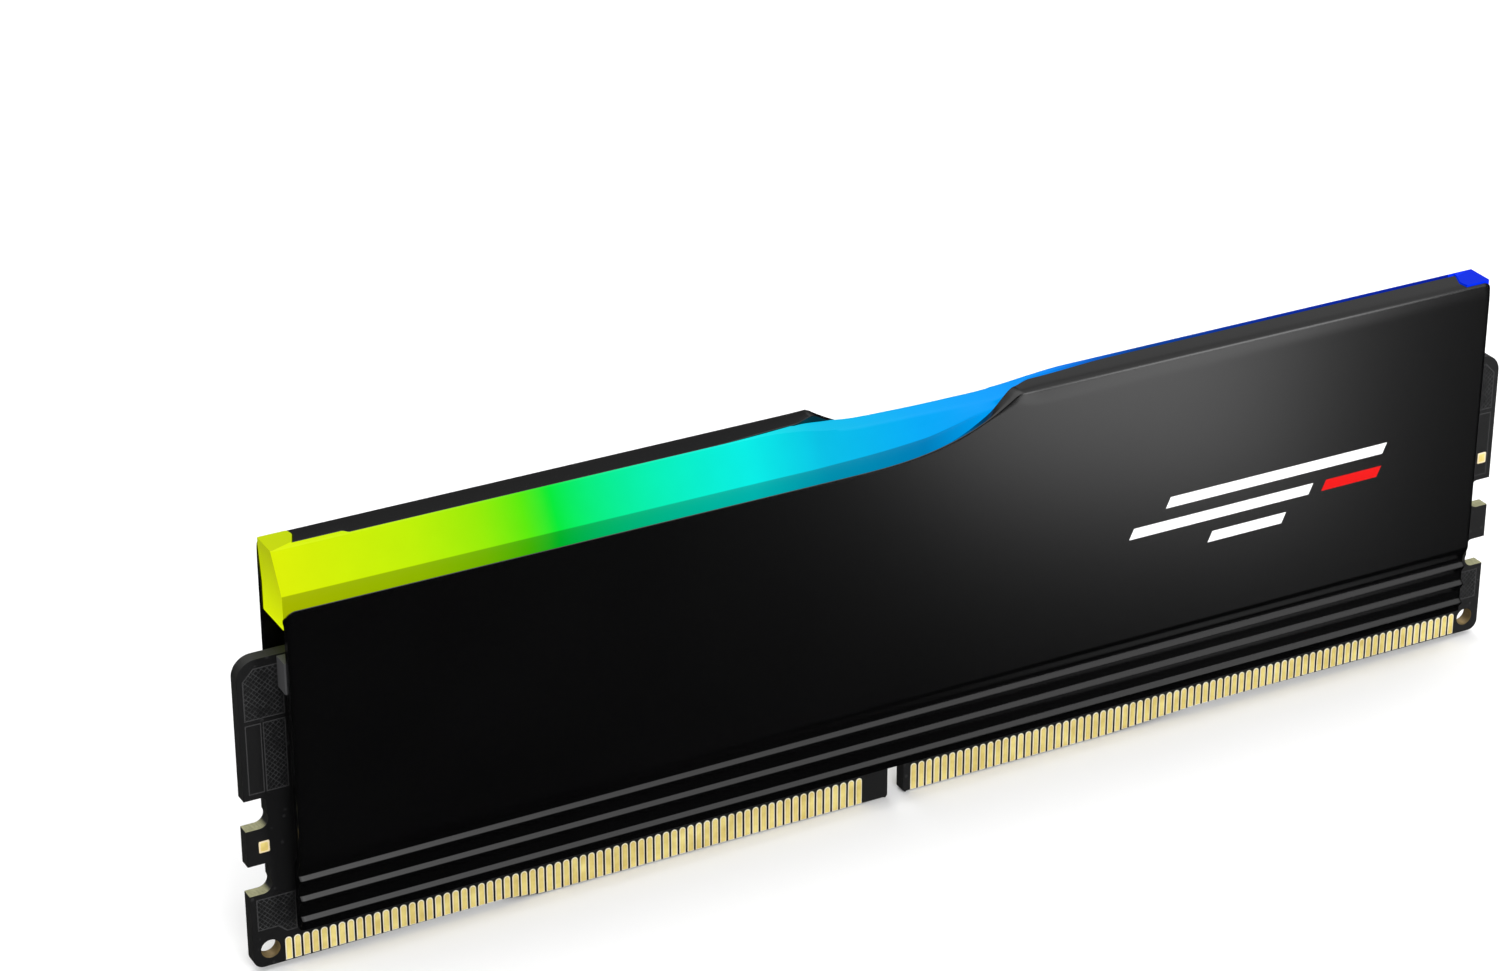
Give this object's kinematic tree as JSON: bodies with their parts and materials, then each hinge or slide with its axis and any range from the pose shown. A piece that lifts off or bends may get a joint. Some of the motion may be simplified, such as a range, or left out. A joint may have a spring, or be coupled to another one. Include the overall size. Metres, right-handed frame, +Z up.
{
  "type": "ram module",
  "caption": "Desktop memory module: a black circuit board with a gold contact edge, two ribbed black heat spreaders and a glowing light bar along the top.",
  "frame": {"origin": "middle of the contact edge: halfway along the board, in the board's mid-plane, at the height of the lowest contact edge", "axes": "+X along the module's length, +Y through its thickness towards the face without memory chips, +Z up out of the socket, towards the light bar"},
  "size_m": [0.1334, 0.0066, 0.0408],
  "materials": {
    "anodised_black": "satin black anodised",
    "solder_mask_black": "black solder mask over copper, semi-gloss",
    "gold_plating": "hard gold plating, satin",
    "milky_diffuser": "frosted translucent plastic, lit from inside",
    "chip_package": "moulded black epoxy",
    "ferrite": "pressed ferrite, dull grey",
    "ceramic_body": "fired ceramic, brown",
    "led_package": "white moulded package",
    "thermal_pad": "soft filled silicone, matte",
    "grey_foam_tape": "grey foam tape, matte"
  },
  "bodies": {
    "root": {"circuit_board": "solder_mask_black", "front_contacts_left": "gold_plating", "front_contacts_right": "gold_plating", "rear_contacts_left": "gold_plating", "rear_contacts_right": "gold_plating", "front_heat_spreader": "anodised_black", "rear_heat_spreader": "anodised_black", "light_diffuser": "milky_diffuser", "dram_chip_1": "chip_package", "dram_chip_2": "chip_package", "dram_chip_3": "chip_package", "dram_chip_4": "chip_package", "dram_chip_5": "chip_package", "dram_chip_6": "chip_package", "dram_chip_7": "chip_package", "dram_chip_8": "chip_package", "resistor_array_1": "chip_package", "resistor_array_2": "chip_package", "resistor_array_3": "chip_package", "resistor_array_4": "chip_package", "resistor_array_5": "chip_package", "resistor_array_6": "chip_package", "resistor_array_7": "chip_package", "resistor_array_8": "chip_package", "power_management_chip": "chip_package", "spd_hub_chip": "chip_package", "led_controller_chip": "chip_package", "power_inductor_1": "ferrite", "power_inductor_2": "ferrite", "power_inductor_3": "ferrite", "power_capacitor_1": "ceramic_body", "power_capacitor_2": "ceramic_body", "power_capacitor_3": "ceramic_body", "power_capacitor_4": "ceramic_body", "rgb_led_1": "led_package", "rgb_led_2": "led_package", "rgb_led_3": "led_package", "rgb_led_4": "led_package", "rgb_led_5": "led_package", "rgb_led_6": "led_package", "rgb_led_7": "led_package", "rgb_led_8": "led_package", "front_thermal_pad": "thermal_pad", "rear_thermal_pad": "thermal_pad", "front_adhesive_strip": "grey_foam_tape", "rear_adhesive_strip_left": "grey_foam_tape", "rear_adhesive_strip_right": "grey_foam_tape", "left_gold_pad": "gold_plating", "right_gold_pad": "gold_plating"}
  },
  "joints": []
}
